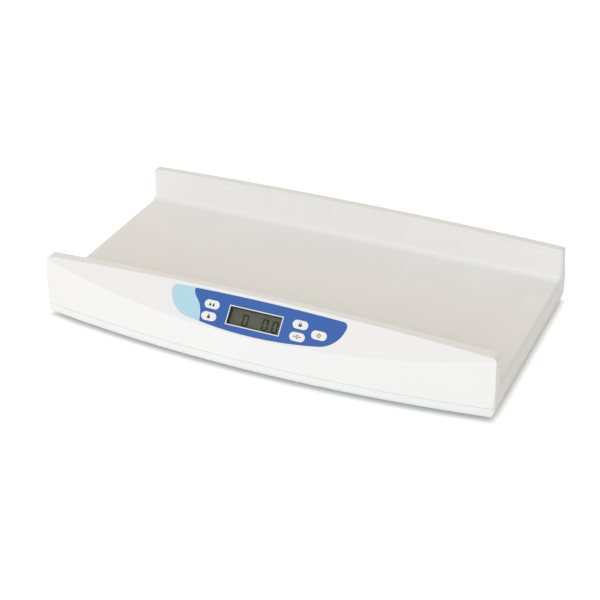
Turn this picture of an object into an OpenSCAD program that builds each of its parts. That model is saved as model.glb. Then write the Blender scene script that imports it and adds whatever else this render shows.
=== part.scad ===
// Digital baby weighing scale: an open-ended tray on a low base, with a raked display panel.
// Origin: middle of the footprint, on the surface the scale stands on. X runs along the tray,
// -Y is the display side, +Z is up. Sizes are in millimetres and angles in degrees.

/* [Body] */
// Length of the scale at the seam between tray and base
body_len = 600; // [560:5:640]
// Depth of the scale, from the middle of the bowed front to the back
body_depth = 330; // [315:5:350]
// How far the middle of the front bows out past its corners
front_bow = 25; // [15:1:35]
// Radius of the body's upright corners
corner_r = 5; // [3:0.5:8]
// Height of the base shell
base_h = 15.5; // [14.5:0.5:18]
// Height of the rims above the seam, at the ends
rim_rise = 65; // [60:1:72]
// Extra height of the front rim in its middle
front_crown = 6.5; // [3:0.5:10]
// Extra height of the back rim in its middle
back_crown = 5.3; // [3:0.1:9]
// Radius of the rims' upper corners at the ends
rim_corner_r = 4; // [2.5:0.5:6]
// Inward lean of the end faces
end_draft = 2.5; // [1:0.5:4]
// Inward lean of the bowed front skirt
skirt_draft = 2; // [1:0.5:3]
// Inward lean of the back face
back_lean = 7.5; // [4:0.5:9]
// Radius along the lower front and back edges of the base
base_edge_r = 8; // [5:0.5:10]
// Radius along the lower edges of the base at its ends
base_end_r = 13; // [9:0.5:13.5]

/* [Tray] */
// Height of the tray floor above the seam
floor_rise = 20; // [18:0.5:24]
// Depth of the hollow front that carries the display, at its middle
front_block = 45; // [43:1:51]
// Depth of the hollow back
back_block = 21.5; // [20:0.5:27]
// Radius between the tray floor and its walls
tray_fillet = 9; // [8:0.5:14]
// Radius that rolls the tray's ends over into the end faces
end_roll = 5; // [4:0.5:7]
// Radius along the rims' edges
rim_edge_r = 4; // [2:0.5:4.5]
// Wall of the tray moulding
wall = 3; // [2.5:0.25:3.5]
// Wall of the base moulding
base_wall = 2.5; // [2:0.25:3]
// Depth of the ribs under the tray floor
rib_h = 8; // [5:0.5:9]
// Thickness of the ribs
rib_t = 1.8; // [1.2:0.2:2.4]

/* [Display face] */
// Lean of the display face, from upright
face_tilt = 42; // [38:1:46]
// Setback of the display face's top edge from the front corners, at the ends
face_setback = 4.2; // [2:0.2:6]
// Half width of the printed panel
panel_half_w = 115.5; // [112:0.5:118]
// Radius of the panel's lower corners
panel_side_r = 34.5; // [32:0.5:35]
// Radius of the panel's upper corners
panel_top_r = 6; // [4:0.5:7]
// Height of the panel's top edge above the face's reference line
panel_top = 4.9; // [4:0.1:5.5]
// Depth of the panel's bottom edge below the face's reference line
panel_bottom = 39.9; // [38:0.1:40.5]
// Fall of the panel's top edge from its middle to its corners
panel_top_sag = 2.3; // [1:0.1:3]
// Thickness of the printed panel
panel_t = 0.5; // [0.3:0.1:0.8]
// Outside width of the frame round the display
lcd_w = 71; // [68:0.5:74]
// Outside height of the frame round the display
lcd_h = 24.5; // [23:0.5:26]
// Width of the frame's visible line
lcd_line = 1.2; // [0.8:0.1:1.6]
// Distance of the display's middle below the reference line
lcd_down = 19.65; // [18.5:0.05:20.5]
// Height of a figure on the display
digit_h = 15; // [12:0.5:16]
// Width of a figure on the display
digit_w = 7; // [6:0.25:8]
// Spacing of the figures
digit_pitch = 13; // [11.5:0.1:13.2]

/* [Keys] */
// Width of a key
key_w = 20; // [18:0.2:21]
// Height of a key
key_h = 10.8; // [10:0.2:12]
// Distance of the paired keys from the display's middle
key_x = 58.4; // [57:0.2:60]
// Distance of the power key from the display's middle
power_x = 84.4; // [83:0.2:88]
// Spacing between the upper and lower keys
key_pitch = 15; // [14.4:0.1:16]
// How far a key stands proud of the face
key_proud = 0.9; // [0.6:0.1:1.4]
// Travel of a key
key_travel = 0.5; // [0.3:0.05:0.6]

/* [Feet] */
// Gap between the base and the surface it stands on
foot_drop = 3; // [2:0.5:5]
// Radius of a foot
foot_r = 16; // [12:0.5:17]
// Distance of the feet from the ends
foot_inset_x = 75; // [65:1:95]
// Distance of the feet from the front and the back
foot_inset_y = 60; // [53:1:75]
// Size of a load cell plate
cell_size = 44; // [42:1:48]
// Thickness of a load cell plate
cell_t = 1.2; // [0.8:0.1:1.6]

/* [Batteries] */
// Diameter of a cell
battery_d = 14.2; // [14:0.1:14.5]
// Length of a cell over its contact nub
battery_len = 50.2; // [49.2:0.1:50.5]
// Number of cells side by side
battery_count = 4; // [2:1:4]
// Place of the battery bay's middle, across the tray
bay_y = 25; // [15:1:35]
// Thickness of the battery door
door_t = 1.6; // [1.4:0.1:1.8]
// Slide of the battery door before it lifts off
door_travel = 6.5; // [5:0.5:8]

/* [Hidden] */
$fn = 48;

// Clearances
seat_gap = 0.3;    // between fixed pieces that lie against each other
slide_gap = 0.2;   // round a piece that slides
fit_gap = 0.05;    // round a screw or plunger in its hole
seam_gap = 0.4;    // hairline between tray and base
overrun = 1;       // how far a cut runs past the surface that it opens
edge_ease = 0.08;  // how far the rolled ends stop short of their flanks

// Main levels and places
parting_z = foot_drop + base_h;
rim_z = parting_z + rim_rise;
floor_z = parting_z + floor_rise;
front_y = -body_depth / 2;
back_y = body_depth / 2;
half_len = body_len / 2;
tray_front_y = front_y + front_block;
tray_back_y = back_y - back_block;
foot_x = half_len - foot_inset_x;
foot_y = back_y - foot_inset_y;
corner_y = front_y + front_bow;
face_y = corner_y + face_setback;
base_floor_z = foot_drop + base_wall;
top_z = rim_z + max(front_crown, back_crown) + 5;

function arc_r(chord, rise) = (chord * chord / 4 + rise * rise) / (2 * rise);
function unit(v) = v / norm(v);
skirt_r = arc_r(body_len, front_bow);
skirt_y = front_y + skirt_r;
arc_fn = 720;

// z of the plane that lies `depth` behind the display face, at a given y
function face_z(y, depth = 0) = rim_z - (face_y + depth / cos(face_tilt) - y) / tan(face_tilt);

// ---------- plan outline: bowed front, square ends, rounded upright corners ----------

module plan(inset) {
    r = max(corner_r - inset, 0.8);
    big_r = skirt_r - inset;
    half = half_len - inset;
    back = back_y - inset;
    fx = half - r;
    fy = skirt_y - sqrt(pow(big_r - r, 2) - fx * fx);
    reach = 1.1;
    intersection() {
        translate([0, skirt_y]) circle(r = big_r, $fn = arc_fn);
        polygon([[0, skirt_y], [-fx * reach, skirt_y + (fy - skirt_y) * reach],
                 [fx * reach, skirt_y + (fy - skirt_y) * reach]]);
        translate([-half, front_y - overrun]) square([2 * half, back - r - front_y + overrun]);
    }
    translate([-half, fy]) square([2 * half, back - r - fy]);
    translate([-fx, fy]) square([2 * fx, back - fy]);
    for (s = [-1, 1]) {
        translate([s * fx, fy]) circle(r = r);
        translate([s * fx, back - r]) circle(r = r);
    }
}

// ---------- tray form: the outside of the tray moulding, or the same moved in by `inset` ----------

corner_flats = 6;

// Side view: the raked display face in front, the leaning back face behind
module side_view(inset) {
    y0 = front_y - 10;
    push = inset / cos(face_tilt);
    y1 = back_y - inset / cos(back_lean);
    low = parting_z - overrun;
    polygon([[y0, low], [y0, rim_z - (face_y + push - y0) / tan(face_tilt)],
             [face_y + push + (top_z - rim_z) * tan(face_tilt), top_z],
             [y1 - (top_z - parting_z) * tan(back_lean), top_z],
             [y1 + overrun * tan(back_lean), low]]);
}

// Front view of what lies above a crowned rim
module above_crown(crown, inset) {
    crown_r = arc_r(body_len, crown);
    difference() {
        translate([-half_len - 30, rim_z - 20]) square([body_len + 60, top_z - rim_z + 30]);
        translate([0, rim_z + crown - crown_r]) circle(r = crown_r - inset, $fn = arc_fn);
    }
}

// Front view of what lies outside the leaning ends and their rounded upper corners
module outside_ends(inset) {
    t = tan(end_draft);
    r = rim_corner_r;
    slope = 2 * back_crown / half_len;
    fz = rim_z - r;
    fx = half_len - r / cos(end_draft) - (fz - parting_z) * t;
    low = parting_z - 5;
    foot = half_len + 5 * t;
    last = 90 - atan(slope);
    shift = inset / cos(end_draft);
    for (s = [0, 1]) mirror([s, 0]) translate([-shift, 0])
        polygon(concat([[foot, low]],
                       [for (i = [0:corner_flats]) let(a = end_draft + i * (last - end_draft) / corner_flats)
                        [fx + r * cos(a), fz + r * sin(a)]],
                       [[fx - 20, top_z + overrun], [half_len + 30, top_z + overrun], [half_len + 30, low]]));
}

// Extrudes a side view, drawn in y and z, along the tray
module along_x() {
    rotate([90, 0, 90]) linear_extrude(height = body_len + 20, center = true) children();
}

// Extrudes a front view, drawn in x and z, across the tray from y0 to y1
module across_y(y0, y1) {
    translate([0, y1, 0]) rotate([90, 0, 0]) linear_extrude(height = y1 - y0) children();
}

module tray_form(inset, low) {
    difference() {
        intersection() {
            along_x() side_view(inset);
            translate([0, skirt_y, parting_z - overrun])
                cylinder(h = top_z - parting_z + overrun,
                         r1 = skirt_r - inset + overrun * tan(skirt_draft),
                         r2 = skirt_r - inset - (top_z - parting_z) * tan(skirt_draft),
                         $fn = arc_fn);
            translate([0, 0, low]) linear_extrude(height = top_z - low) plan(inset);
        }
        across_y(front_y - 20, -20) above_crown(front_crown, inset);
        across_y(20, back_y + 20) above_crown(back_crown, inset);
        across_y(front_y - 20, back_y + 20) outside_ends(inset);
    }
}

// Side view of the tray's hollow, grown outwards by `grow`
module channel_view(grow) {
    y0 = tray_front_y - grow;
    y1 = tray_back_y + grow;
    z0 = floor_z - grow;
    r = tray_fillet + grow;
    translate([y0 + r, z0]) square([y1 - y0 - 2 * r, r]);
    translate([y0, z0 + r]) square([y1 - y0, top_z + overrun - z0 - r]);
    for (y = [y0 + r, y1 - r]) translate([y, z0 + r]) circle(r = r);
}

// What a rounded edge takes off a square corner at the origin, in the first quadrant
module edge_cut(r, ease = 0) {
    difference() {
        translate([-overrun, -overrun]) square(r + overrun);
        translate([r, r]) circle(r = r + ease);
    }
}

// Rolls the +X end over, along the tray's front wall, floor and back wall
module end_roll_cut() {
    r = tray_fillet;
    translate([half_len, 0, parting_z]) rotate([0, -end_draft, 0]) translate([0, 0, floor_rise]) {
        // walls
        for (side = [[tray_front_y, 180], [tray_back_y, 90]])
            translate([0, side[0], r]) rotate([0, 0, side[1]])
                linear_extrude(height = top_z - floor_z) edge_cut(end_roll, edge_ease);
        // floor
        translate([0, tray_back_y - r, 0]) rotate([90, 90, 0])
            linear_extrude(height = tray_back_y - tray_front_y - 2 * r)
                mirror([0, 1]) edge_cut(end_roll, edge_ease);
        // fillets between them
        for (s = [0, 1]) translate([0, s == 0 ? tray_front_y + r : tray_back_y - r, r])
            mirror([0, s, 0]) rotate([0, -90, 0])
                rotate_extrude(angle = 90, start = 180) translate([r, 0]) edge_cut(end_roll, edge_ease);
    }
}

// Rounds a rim's upper edge that runs along the tray at y, following its crown; s is the open side
module rim_edge_cut(y, crown, s) {
    crown_r = arc_r(body_len, crown);
    sweep = 2 * asin(half_len / crown_r) + 1;
    translate([0, y, rim_z + crown - crown_r]) rotate([90, 0, 0]) mirror([0, 0, s > 0 ? 1 : 0])
        rotate_extrude(angle = sweep, start = 90 - sweep / 2, $fn = 6 * arc_fn)
            translate([crown_r, 0]) mirror([1, 0]) edge_cut(rim_edge_r);
}

// ---------- display face frame: x along the tray, y up the face, z out of it ----------

module on_face() {
    translate([0, face_y, rim_z]) rotate([90 - face_tilt, 0, 0]) children();
}

// A slab in the face's frame, from z0 out to z1
module slab(z0, z1) {
    translate([0, 0, z0]) linear_extrude(height = z1 - z0) children();
}

module centred(w, h) {
    square([w, h], center = true);
}

// A stadium w wide and h high
module stadium(w, h) {
    centred(w - h, h);
    for (s = [-1, 1]) translate([s * (w - h) / 2, 0]) circle(d = h);
}

key_upper_y = -lcd_down + key_pitch / 2;
key_lower_y = -lcd_down - key_pitch / 2;
// Places of the keys: upper unit, lower unit, hold, zero, power
key_at = [[-key_x, key_upper_y], [-key_x, key_lower_y], [key_x, key_upper_y], [key_x, key_lower_y],
          [power_x, -lcd_down]];

// Depths behind the face
frame_back = wall + 1.4;
lens_t = 1;
digit_t = 0.15;
lcd_top = frame_back + digit_t + 0.15;
lcd_t = 2.8;
board_top = frame_back + 5.2;
board_t = 1.6;
board_back = board_top + board_t;
flange_t = 1.1;
flange_lip = 1.4;
flange_back = wall + fit_gap + flange_t;
switch_h = 3.5;
plunger_show = key_travel + 0.15;
plunger_r = 1.7;
plunger_sink = 1.1;

// Outline of the printed panel, grown outwards by `grow`
module panel_outline(grow) {
    low_r = arc_r(2 * panel_half_w, 12.6) + grow;
    low_mid = [0, low_r - panel_bottom - grow];
    side_r = panel_side_r + grow;
    side_x = panel_half_w + grow - side_r;
    side_y = low_mid[1] - sqrt(pow(low_r - side_r, 2) - side_x * side_x);
    top_r = arc_r(2 * panel_half_w, panel_top_sag);
    top_mid = [0, panel_top + grow - top_r];
    corner = [panel_half_w + grow - panel_top_r, panel_top + grow - panel_top_sag - panel_top_r];
    difference() {
        intersection() {
            union() {
                intersection() {
                    translate(low_mid) circle(r = low_r, $fn = arc_fn);
                    polygon([low_mid, [-side_x, side_y] + ([-side_x, side_y] - low_mid),
                             [side_x, side_y] + ([side_x, side_y] - low_mid)]);
                }
                for (s = [-1, 1]) translate([s * side_x, side_y]) circle(r = side_r, $fn = 96);
                translate([-side_x, side_y]) square([2 * side_x, side_r]);
            }
            translate(top_mid) circle(r = top_r, $fn = 2 * arc_fn);
        }
        for (s = [0, 1]) mirror([s, 0]) translate(corner) difference() {
            square(panel_top_r + 3);
            circle(r = panel_top_r);
        }
    }
}

// The region left of the S-shaped line that splits the panel's two colours
module side_field() {
    r = 13;
    turn_y = -10;
    line_x = -82;
    step = 7;
    translate([-panel_half_w - 10, -panel_bottom - 10])
        square([line_x - step + panel_half_w + 10, panel_bottom + panel_top + 20]);
    difference() {
        translate([line_x - step - overrun, -panel_bottom - 10])
            square([step + overrun + 14, panel_bottom + 10 + turn_y + r]);
        translate([line_x + 14, turn_y + r]) circle(r = 14 + step - 0.01);
        translate([line_x + 14, -panel_bottom - 20]) square([20, 100]);
    }
}

module lcd_place() {
    translate([0, -lcd_down]) children();
}

// ---------- tray ----------

screw_at = [for (x = [-1, 1], y = [-1, 1]) [x * (half_len - 22), y * (foot_y - 45)],
            for (x = [-1, 1]) [x * 100, tray_back_y - 12],
            for (x = [-1, 1]) [x * 110, tray_front_y + 12]];
screw_r = 1.6;
boss_r = 4.5;
pilot_depth = 12;
board_w = 184;
board_x = 13;
board_h = 36;
board_screw_at = [for (x = [-1, 1], y = [-1, 1])
                  [board_x + x * (board_w / 2 - 4), -20 + y * (board_h / 2 - 3.5)]];
board_screw_r = 0.9;

module rib_grid() {
    z0 = floor_z - wall - rib_h;
    step_x = body_len / 10;
    first_y = tray_front_y + front_block - 5;
    step_y = (tray_back_y - back_block - 37 - first_y) / 3;
    for (i = [-4:4]) translate([i * step_x - rib_t / 2, tray_front_y, z0])
        cube([rib_t, tray_back_y - tray_front_y, rib_h + wall]);
    for (i = [0:3]) translate([-half_len + 8, first_y + i * step_y - rib_t / 2, z0])
        cube([body_len - 16, rib_t, rib_h + wall]);
}

// Upright gussets inside the hollow front wall, clear of the electronics
module wall_gussets() {
    for (s = [-1, 1], inset = [50, 110, 160])
        translate([s * (half_len - inset) - rib_t / 2, front_y, parting_z + 14])
            cube([rib_t, tray_front_y - front_y, top_z - parting_z]);
}

module face_bosses() {
    on_face() for (p = board_screw_at) translate([p[0], p[1], -board_top])
        cylinder(h = board_top - wall / 2, r = 3);
}

// Finishes one stage of cuts before the next one starts
module stage() {
    intersection() {
        children();
        translate([-body_len, -body_depth, 0]) cube([2 * body_len, 2 * body_depth, 2 * top_z]);
    }
}

module tray_block() {
    stage() difference() {
        tray_form(0, parting_z);
        along_x() channel_view(0);
        for (s = [0, 1]) mirror([s, 0, 0]) end_roll_cut();
    }
}

module rounded_block() {
    stage() difference() {
        tray_block();
        rim_edge_cut(tray_front_y, front_crown, 1);
        rim_edge_cut(tray_back_y, back_crown, -1);
        rim_edge_cut(back_y - rim_rise * tan(back_lean), back_crown, 1);
    }
}

// The space inside the moulding, between its ribs and bosses
module tray_hollow() {
    difference() {
        tray_form(wall, parting_z - overrun);
        along_x() channel_view(wall);
        rib_grid();
        wall_gussets();
        face_bosses();
        for (p = screw_at) translate([p[0], p[1], parting_z - 2 * overrun])
            cylinder(h = floor_rise, r = boss_r);
    }
}

module tray_housing() {
    color("whitesmoke") difference() {
        rounded_block();
        tray_hollow();
        for (p = screw_at) translate([p[0], p[1], parting_z - overrun])
            cylinder(h = pilot_depth + overrun, r = screw_r + fit_gap);
        on_face() {
            slab(-panel_t - 0.1, 12) panel_outline(seat_gap);
            slab(-wall - overrun, 1) lcd_place() centred(lcd_w + 2 * slide_gap, lcd_h + 2 * slide_gap);
            for (p = key_at) slab(-wall - overrun, 1) translate(p)
                stadium(key_w + 2 * slide_gap, key_h + 2 * slide_gap);
            for (p = board_screw_at) translate([p[0], p[1], -board_top - overrun])
                cylinder(h = board_top - wall - 1 + overrun, r = board_screw_r + fit_gap);
        }
    }
}

// ---------- base ----------

edge_flats = 6;

// The base's outside, or the same moved in by `inset`
module base_form(inset, high) {
    z0 = foot_drop + inset;
    er = base_edge_r - inset;
    nr = base_end_r - inset;
    big_r = skirt_r - inset;
    half = half_len - inset;
    tall = high - z0;
    intersection() {
        translate([0, 0, z0]) linear_extrude(height = tall) plan(inset);
        translate([0, skirt_y, z0]) rotate_extrude($fn = arc_fn)
            polygon(concat([[0, 0]], [for (i = [0:edge_flats]) let(a = 90 * i / edge_flats)
                                      [big_r - er + er * sin(a), er - er * cos(a)]],
                           [[big_r, tall], [0, tall]]));
        across_y(front_y - 10, back_y + 10) translate([0, z0]) {
            translate([-half + nr, 0]) square([2 * (half - nr), tall]);
            translate([-half, nr]) square([2 * half, tall - nr]);
            for (s = [-1, 1]) translate([s * (half - nr), nr]) circle(r = nr);
        }
        along_x() translate([0, z0]) {
            translate([front_y - 10, 0]) square([back_y + 10 - front_y - inset - er, tall]);
            translate([front_y - 10, er]) square([back_y + 10 - front_y - inset, tall - er]);
            translate([back_y - inset - er, er]) circle(r = er);
        }
    }
}

lip_h = 2;
lip_t = 1.6;
lip_lean = 0.3;
lip_inset = wall + seat_gap + lip_lean;
base_rib_step = 50;
base_rib_y0 = 35 - foot_y;
base_rib_y1 = foot_y + 5;
battery_gap = 0.6;
bay_w = battery_count * (battery_d + battery_gap) + battery_gap;
bay_len = battery_len + 6.4;
bay_wall = 2;
door_top = foot_drop + door_t;
door_lap = 2.8;
door_w = bay_w + 2 * door_lap;
door_len = bay_len + 2 * door_lap;
battery_z = door_top + 0.8 + seat_gap + battery_d / 2;
bay_top = battery_z + battery_d / 2 + seat_gap;
catch_len = 7;
catch_at = [-18, 12];
catch_z = door_top + 1;
post_h = 4.1;
post_at = cell_size / 2 - 3;
cell_z = base_floor_z + post_h;
screw_head_h = 2;
screw_seat_z = foot_drop + 5;
flange_r = foot_r + 2.5;
foot_flange_t = 1.5;

function foot_place(sx, sy) = [sx * foot_x, sy * foot_y, 0];
corners = [for (sy = [-1, 1], sx = [-1, 1]) foot_place(sx, sy)];

module battery_bay_block() {
    translate([-bay_w / 2 - bay_wall, bay_y - bay_len / 2 - bay_wall, foot_drop])
        cube([bay_w + 2 * bay_wall, bay_len + 2 * bay_wall, bay_top + bay_wall - foot_drop]);
}

module battery_bay_cuts() {
    // the bay itself
    translate([-bay_w / 2, bay_y - bay_len / 2, foot_drop - overrun])
        cube([bay_w, bay_len, bay_top - foot_drop + overrun]);
    // recess for the door, longer at the back by the door's slide
    translate([-door_w / 2 - seat_gap, bay_y - door_len / 2 - seat_gap, foot_drop - overrun])
        cube([door_w + 2 * seat_gap, door_len + door_travel + 2 * seat_gap,
              door_t + 0.2 + overrun]);
    // windows for the door's catches
    for (y = catch_at) translate([-bay_w / 2 - 1.5, bay_y + y - seat_gap, catch_z - 0.2])
        cube([bay_w + 3, catch_len + door_travel + 2 * seat_gap, 1.6]);
}

module base_shell() {
    color("white") difference() {
        union() {
            difference() {
                base_form(0, parting_z - seam_gap);
                base_form(base_wall, parting_z + overrun);
            }
            // lip that centres the tray's walls
            difference() {
                translate([0, 0, parting_z - 4]) linear_extrude(height = 4 + lip_h) plan(lip_inset);
                translate([0, 0, parting_z - 5]) linear_extrude(height = 9) plan(lip_inset + lip_t);
            }
            difference() {
                translate([0, 0, parting_z - 4]) linear_extrude(height = 4 - seam_gap) plan(base_wall / 2);
                translate([0, 0, parting_z - 5]) linear_extrude(height = 9) plan(lip_inset + lip_t);
            }
            for (p = screw_at) translate([p[0], p[1], foot_drop + 1])
                cylinder(h = parting_z - foot_drop - 1, r = boss_r);
            battery_bay_block();
            for (c = corners, x = [-1, 1], y = [-1, 1])
                translate([c[0] + x * post_at, c[1] + y * post_at, base_floor_z - 1])
                    cylinder(h = post_h + 1, r = 2.6);
            // low stiffening ribs
            for (s = [0, 1]) mirror([s, 0, 0])
                translate([foot_x - 75, base_rib_y0, base_floor_z - 1]) {
                    for (i = [0, 1]) translate([-i * base_rib_step - rib_t / 2, 0, 0])
                        cube([rib_t, base_rib_y1 - base_rib_y0, 4]);
                    for (i = [0:2])
                        translate([-base_rib_step, i * (base_rib_y1 - base_rib_y0 - rib_t) / 2, 0])
                            cube([base_rib_step, rib_t, 4]);
                }
            // collars round the foot holes
            for (c = corners) translate([c[0], c[1], base_floor_z - 1])
                cylinder(h = 2.4, r = flange_r + 2.2);
        }
        for (c = corners) translate([c[0], c[1], 0]) {
            cylinder(h = base_floor_z + overrun, r = foot_r + slide_gap);
            translate([0, 0, base_floor_z]) cylinder(h = 5, r = flange_r + seat_gap);
            for (x = [-1, 1], y = [-1, 1]) translate([x * post_at, y * post_at, base_floor_z])
                cylinder(h = post_h + overrun, r = board_screw_r + fit_gap);
        }
        for (p = screw_at) translate([p[0], p[1], 0]) {
            cylinder(h = screw_seat_z, r = 3.5);
            cylinder(h = parting_z + overrun, r = screw_r + 0.3);
        }
        battery_bay_cuts();
    }
}

// A self-tapping screw that stands on its head at the origin
module screw(r, len, head_r, head_h) {
    cylinder(h = len, r = r);
    translate([0, 0, -head_h]) cylinder(h = head_h, r = head_r);
}

module housing_screws() {
    color("silver") for (p = screw_at) translate([p[0], p[1], screw_seat_z])
        screw(screw_r, parting_z + pilot_depth - 1 - screw_seat_z, 3.2, screw_head_h);
}

// ---------- display ----------

module panel_overlay() {
    color("royalblue") on_face() slab(-panel_t, 0) difference() {
        panel_outline(0);
        side_field();
        panel_openings();
    }
    color("lightblue") on_face() slab(-panel_t, 0) difference() {
        intersection() {
            panel_outline(0);
            side_field();
        }
        panel_openings();
    }
}

module panel_openings() {
    lcd_place() centred(lcd_w + 2 * slide_gap, lcd_h + 2 * slide_gap);
    for (p = key_at) translate(p) stadium(key_w + 2 * slide_gap, key_h + 2 * slide_gap);
}

module lcd_frame() {
    color("white") on_face() difference() {
        union() {
            slab(-wall - overrun / 2, 0.3) lcd_place() centred(lcd_w, lcd_h);
            slab(-frame_back, -wall - fit_gap) lcd_place() centred(lcd_w + 7, lcd_h + 6.5);
        }
        slab(-frame_back - overrun, 1) lcd_place() centred(lcd_w - 2 * lcd_line, lcd_h - 2 * lcd_line);
        slab(-frame_back - overrun, -frame_back + lens_t) lcd_place() lens_outline(slide_gap);
    }
}

module lens_outline(grow) {
    centred(lcd_w + 0.2 + 2 * grow, lcd_h + 0.2 + 2 * grow);
}

module lcd_window() {
    color([0.8, 0.85, 0.85, 0.35]) on_face() slab(-frame_back, -frame_back + lens_t)
        lcd_place() lens_outline(0);
}

glass_w = lcd_w + 3;
glass_h = lcd_h + 5.5;

module lcd_panel() {
    color("darkseagreen") on_face() slab(-lcd_top - lcd_t, -lcd_top) lcd_place() centred(glass_w, glass_h);
}

// One figure of seven bars; lit lists the bars that show
module figure(lit) {
    t = 1.9;
    gap = 0.25;
    w = digit_w;
    h = digit_h;
    bars = [
        [[gap, h - t / 2], [w - gap, h - t / 2]],
        [[w - t / 2, h - gap], [w - t / 2, h / 2 + gap]],
        [[w - t / 2, h / 2 - gap], [w - t / 2, gap]],
        [[gap, t / 2], [w - gap, t / 2]],
        [[t / 2, h / 2 - gap], [t / 2, gap]],
        [[t / 2, h - gap], [t / 2, h / 2 + gap]],
        [[t / 2, h / 2], [w - t / 2, h / 2]]
    ];
    for (i = lit) {
        a = bars[i][0];
        b = bars[i][1];
        upright = abs(a[0] - b[0]) < 0.01;
        side = upright ? (a[0] > w / 2 ? -1 : 1) : (a[1] > h / 2 ? -1 : 1);
        // a bar is a trapezium, longer on its outer side
        if (upright)
            polygon([[a[0] - side * t / 2, a[1]], [b[0] - side * t / 2, b[1]],
                     [b[0] + side * t / 2, b[1] + (b[1] < a[1] ? 1 : -1) * t * (b[1] < 1 ? 1 : 0.4)],
                     [a[0] + side * t / 2, a[1] - (b[1] < a[1] ? 1 : -1) * t * (a[1] > h - 1 ? 1 : 0.4)]]);
        else
            polygon([[a[0], a[1] - side * t / 2], [b[0], b[1] - side * t / 2],
                     [b[0] - t, b[1] + side * t / 2], [a[0] + t, a[1] + side * t / 2]]);
    }
}

ZERO = [0, 1, 2, 3, 4, 5];
digits_x = -12.6;
digits_y = -21.7;

module lcd_digits() {
    color("dimgray") on_face() slab(-lcd_top, -lcd_top + digit_t) {
        for (i = [0, 2, 3]) translate([digits_x + i * digit_pitch - digit_w / 2, digits_y - digit_h / 2])
            figure(ZERO);
        translate([digits_x + 2.5 * digit_pitch, digits_y - digit_h / 2 + 0.9]) circle(r = 0.9);
    }
}

module lcd_holder() {
    color("gainsboro") on_face() slab(-board_top, -frame_back - 0.1) lcd_place() difference() {
        centred(glass_w + 6, glass_h + 4);
        centred(glass_w + 2 * seat_gap, glass_h + 2 * seat_gap);
    }
}

module contact_strips() {
    color("pink") on_face() slab(-board_top, -lcd_top - lcd_t) lcd_place()
        for (s = [-1, 1]) translate([0, s * (glass_h / 2 - 1.6)]) centred(glass_w - 6, 2);
}

module main_board() {
    color("darkgreen") on_face() slab(-board_back, -board_top) difference() {
        translate([board_x, -20]) centred(board_w, board_h);
        for (p = board_screw_at) translate(p) circle(r = board_screw_r + 0.3);
    }
}

// Plugs for the leads: four load cells and the batteries, at their x
lead_r = 1.2;
lead_step = 8;
cell_plug_x = [-56, -48, 48, 56];
battery_plug_x = [-8, 8];
plug_h = 6;
plug_w = 6;
plug_len = 10;
plug_y = -22;
chip_at = [-22, -16];
chip_r = 8;
chip_h = 1.4;

module board_parts() {
    color("dimgray") on_face() {
        // chip under its blob of resin
        translate([chip_at[0], chip_at[1], -board_back - chip_h])
            cylinder(h = chip_h, r1 = chip_r - 1.5, r2 = chip_r);
        // plugs for the leads
        for (x = concat(cell_plug_x, battery_plug_x)) slab(-board_back - plug_h, -board_back)
            translate([x, plug_y]) centred(plug_w, plug_len);
        // capacitors and crystal
        for (x = [22, 30]) translate([x, -14, -board_back - 5]) cylinder(h = 5, r = 2.5);
        slab(-board_back - 3, -board_back) translate([-2, -14]) stadium(9, 3.6);
        // memory and regulator chips
        for (x = [72, 84]) slab(-board_back - 1.5, -board_back) translate([x, -24]) centred(5, 4);
    }
}

module board_screws() {
    color("silver") on_face() for (p = board_screw_at) translate([p[0], p[1], -board_back])
        screw(board_screw_r, board_back - wall - 2, 2, 1.5);
}

module switch_bodies() {
    color("dimgray") on_face() for (p = key_at) translate([p[0], p[1], -board_top]) difference() {
        translate([-3, -3, 0]) cube([6, 6, switch_h]);
        translate([0, 0, switch_h - plunger_sink - key_travel - 0.2]) cylinder(h = 5, r = plunger_r + 0.1);
    }
}

// ---------- keys ----------

module key_cap(i) {
    edge = 0.6;
    stem_end = board_top - switch_h - plunger_show;
    color("white") on_face() translate([key_at[i][0], key_at[i][1], 0]) {
        slab(-flange_back, key_proud - edge) stadium(key_w, key_h);
        // rounded upper edge
        translate([0, 0, key_proud - edge]) {
            for (s = [-1, 1]) translate([s * (key_w - key_h) / 2, 0, 0]) rotate_extrude() {
                square([key_h / 2 - edge, edge]);
                intersection() {
                    translate([key_h / 2 - edge, 0]) circle(r = edge);
                    square([key_h, edge]);
                }
            }
            rotate([90, 0, 90]) linear_extrude(height = key_w - key_h, center = true) intersection() {
                union() {
                    centred(key_h - 2 * edge, 2 * edge);
                    for (s = [-1, 1]) translate([s * (key_h / 2 - edge), 0]) circle(r = edge);
                }
                translate([-key_h, 0]) square([2 * key_h, edge]);
            }
        }
        slab(-flange_back, -flange_back + flange_t) stadium(key_w + 2 * flange_lip, key_h + 2 * flange_lip);
        translate([0, 0, -stem_end]) cylinder(h = stem_end - flange_back, r = 2);
    }
}

module plunger(i) {
    top = board_top - switch_h - plunger_show;
    color("black") on_face() translate([key_at[i][0], key_at[i][1], -top - plunger_show - plunger_sink])
        cylinder(h = plunger_show + plunger_sink, r = plunger_r);
}

module key_unit_upper() { key_cap(0); }
module key_unit_lower() { key_cap(1); }
module key_hold() { key_cap(2); }
module key_zero() { key_cap(3); }
module key_power() { key_cap(4); }
module plunger_unit_upper() { plunger(0); }
module plunger_unit_lower() { plunger(1); }
module plunger_hold() { plunger(2); }
module plunger_zero() { plunger(3); }
module plunger_power() { plunger(4); }

// ---------- batteries ----------

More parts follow.
